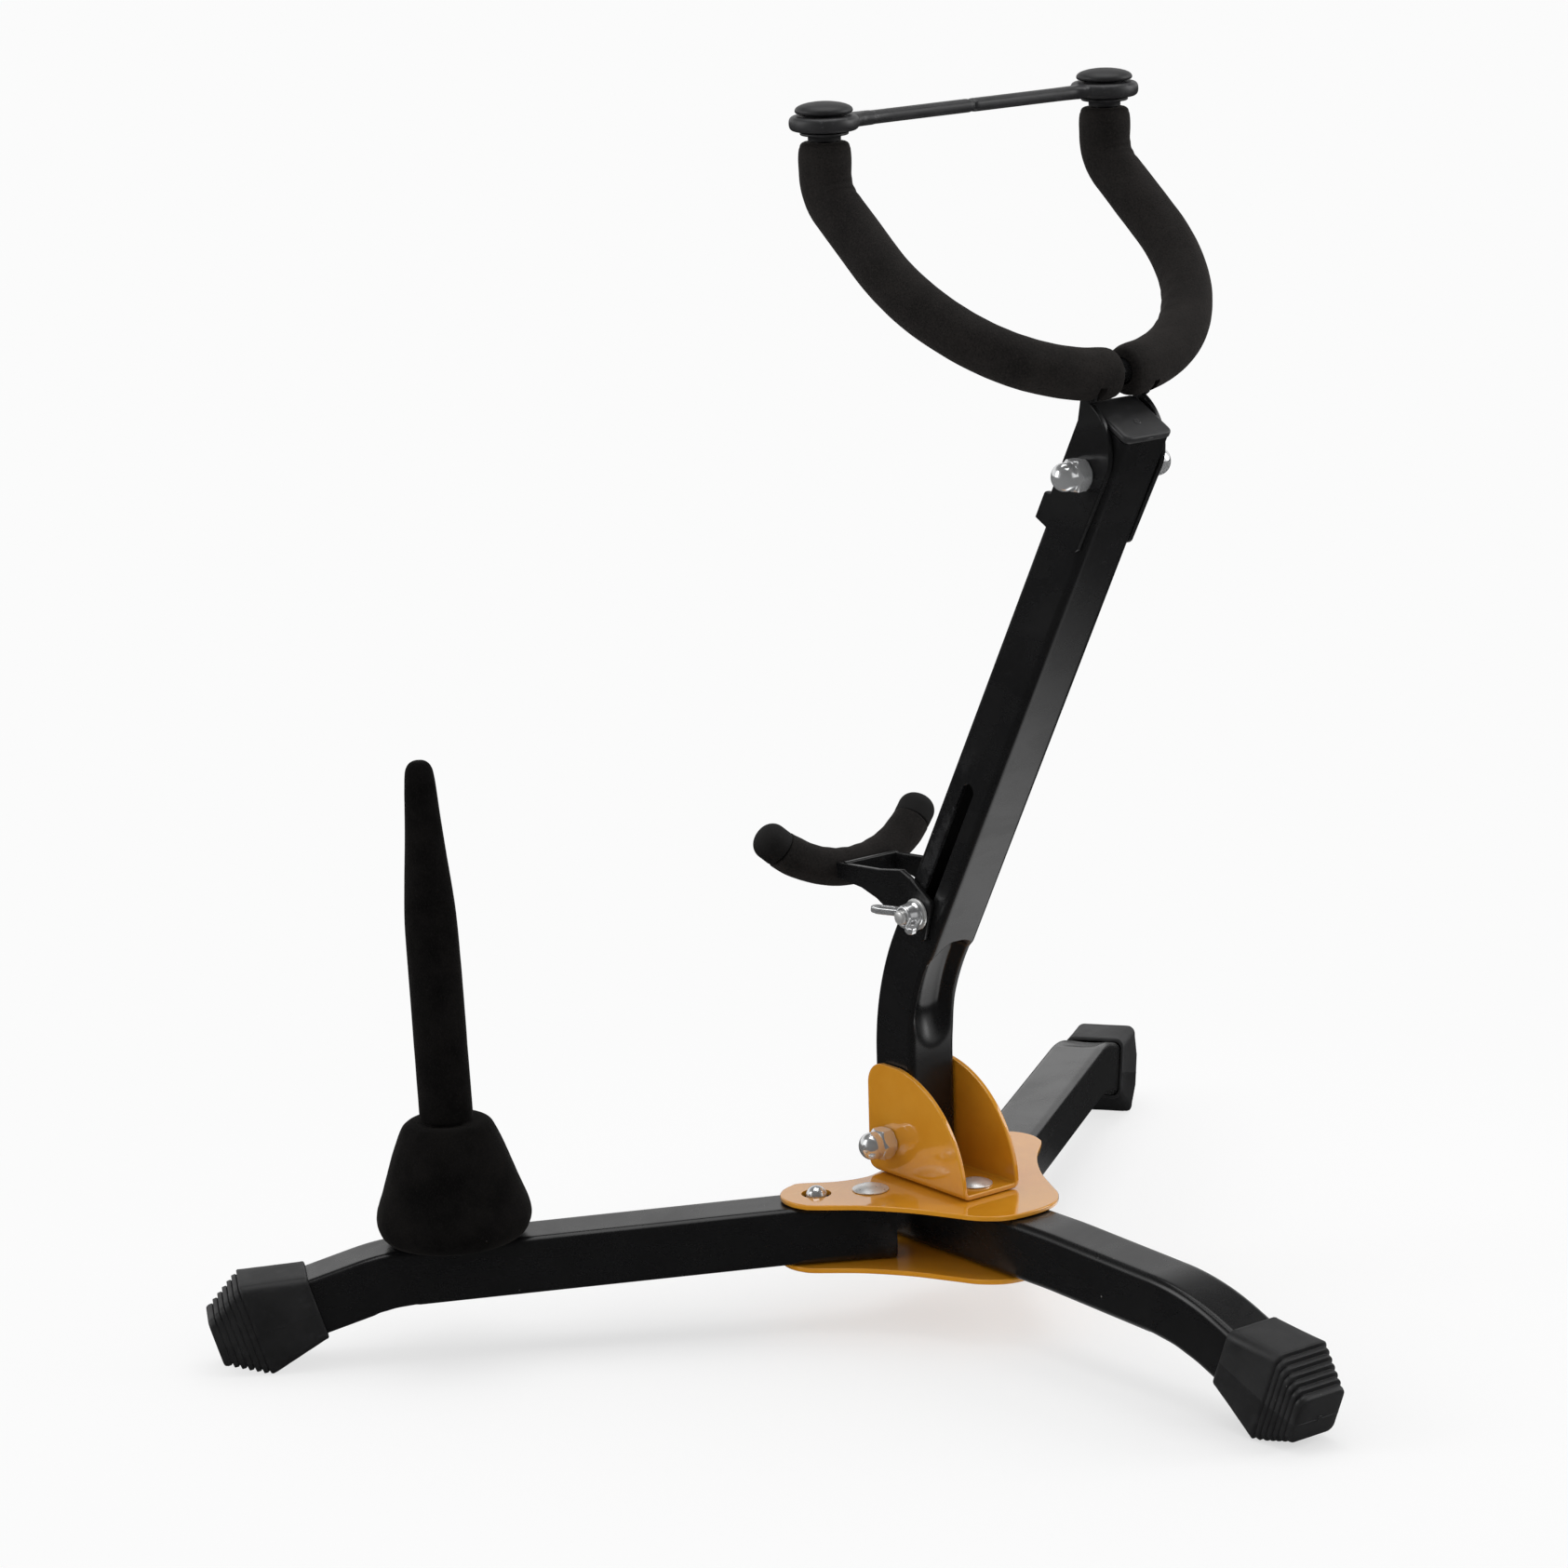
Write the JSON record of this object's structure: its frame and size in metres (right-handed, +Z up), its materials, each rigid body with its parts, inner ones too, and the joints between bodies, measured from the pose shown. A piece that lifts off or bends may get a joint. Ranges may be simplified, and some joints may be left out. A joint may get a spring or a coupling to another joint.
{
  "type": "saxophone stand",
  "caption": "Folding tripod stand for an alto or tenor saxophone, with padded bell yoke, sliding body rest, retaining strap and screw-on flute peg.",
  "frame": {"origin": "on the floor, in the middle of the overall footprint; the tripod's rivet centre stands at x -7.2 mm, y -10.5 mm", "axes": "+Z up; the instrument side faces -Y and the upright leans toward +Y; pivot bolts lie along X; the peg leg points to +X, -Y"},
  "size_m": [0.436, 0.3354, 0.422],
  "materials": {
    "black_powder_coat": "gloss",
    "amber_enamel": "gloss",
    "chrome_plate": "polished",
    "zinc_steel": "satin",
    "black_foam": "matte",
    "black_rubber": "matte",
    "black_plastic": "satin"
  },
  "bodies": {
    "base": {"bottom_plate": "amber_enamel", "top_plate": "amber_enamel", "upright_clevis": "amber_enamel", "clevis_rivet": "zinc_steel", "right_leg_rivet": "zinc_steel", "left_leg_rivet": "zinc_steel", "back_leg_tube": "black_powder_coat", "back_foot": "black_rubber", "lower_pivot_stud": "zinc_steel", "lower_cap_nut_right": "chrome_plate", "lower_cap_nut_left": "chrome_plate"},
    "right_leg": {"right_leg_tube": "black_powder_coat", "right_foot": "black_rubber", "right_detent_spring": "zinc_steel", "peg_stud": "zinc_steel"},
    "left_leg": {"left_leg_tube": "black_powder_coat", "left_foot": "black_rubber", "left_detent_spring": "zinc_steel"},
    "right_detent": {"right_detent_button": "chrome_plate"},
    "left_detent": {"left_detent_button": "chrome_plate"},
    "upright": {"upright_tube": "black_powder_coat", "upright_end_cap": "black_plastic", "upper_pivot_stud": "zinc_steel", "upper_cap_nut_right": "chrome_plate", "upper_cap_nut_left": "chrome_plate"},
    "yoke": {"yoke_bracket": "black_powder_coat", "yoke_rod": "black_powder_coat", "yoke_sleeve_right": "black_foam", "yoke_sleeve_left": "black_foam", "yoke_knob_right": "black_rubber", "yoke_knob_left": "black_rubber", "yoke_strap": "black_rubber"},
    "rest_carriage": {"rest_clamp_screw": "zinc_steel", "rest_washer": "zinc_steel"},
    "body_rest": {"rest_bracket": "black_powder_coat", "rest_rod": "black_powder_coat", "rest_sleeve": "black_foam", "rest_end_cap_right": "black_rubber", "rest_end_cap_left": "black_rubber"},
    "wing_nut": {"rest_wing_nut": "chrome_plate"},
    "peg": {"peg_base": "black_foam", "peg_post": "black_foam"}
  },
  "joints": [
    {"name": "right_leg_fold", "type": "hinge", "parent": "base", "child": "right_leg", "pos_m": [0.01876, -0.02547, 0.034], "axis": [0, 0, 1], "range_deg": [0, 111], "deforming": ["right_detent_button"]},
    {"name": "left_leg_fold", "type": "hinge", "parent": "base", "child": "left_leg", "pos_m": [-0.0332, -0.02547, 0.034], "axis": [0, 0, 1], "range_deg": [-118, 0], "deforming": ["left_detent_button"]},
    {"name": "right_detent_press", "type": "slide", "parent": "right_leg", "child": "right_detent", "axis": [0, 0, 1], "range_m": [-0.0052, 0], "stiffness_N_per_m": 600, "springref_m": 0.004, "deforming": ["right_detent_spring"]},
    {"name": "left_detent_press", "type": "slide", "parent": "left_leg", "child": "left_detent", "axis": [0, 0, 1], "range_m": [-0.0052, 0], "stiffness_N_per_m": 600, "springref_m": 0.004, "deforming": ["left_detent_spring"]},
    {"name": "upright_fold", "type": "hinge", "parent": "base", "child": "upright", "pos_m": [-0.00722, -0.03177, 0.0588], "axis": [1, 0, 0], "range_deg": [-62, 0]},
    {"name": "yoke_fold", "type": "hinge", "parent": "upright", "child": "yoke", "pos_m": [-0.00722, 0.07257, 0.30459], "axis": [1, 0, 0], "range_deg": [-90, 0]},
    {"name": "rest_slide", "type": "slide", "parent": "upright", "child": "rest_carriage", "axis": [0, 0.4726, 0.8813], "range_m": [0, 0.052]},
    {"name": "rest_tilt", "type": "hinge", "parent": "rest_carriage", "child": "body_rest", "pos_m": [-0.00722, -0.01401, 0.14314], "axis": [1, 0, 0], "range_deg": [-85, 40]},
    {"name": "wing_nut_turn", "type": "hinge", "parent": "rest_carriage", "child": "wing_nut", "pos_m": [0.00878, -0.01401, 0.14314], "axis": [1, 0, 0], "continuous": true},
    {"name": "peg_turn", "type": "hinge", "parent": "right_leg", "child": "peg", "pos_m": [0.14174, -0.09647, 0.03995], "axis": [0.0302, -0.0174, 0.9994], "continuous": true}
  ]
}
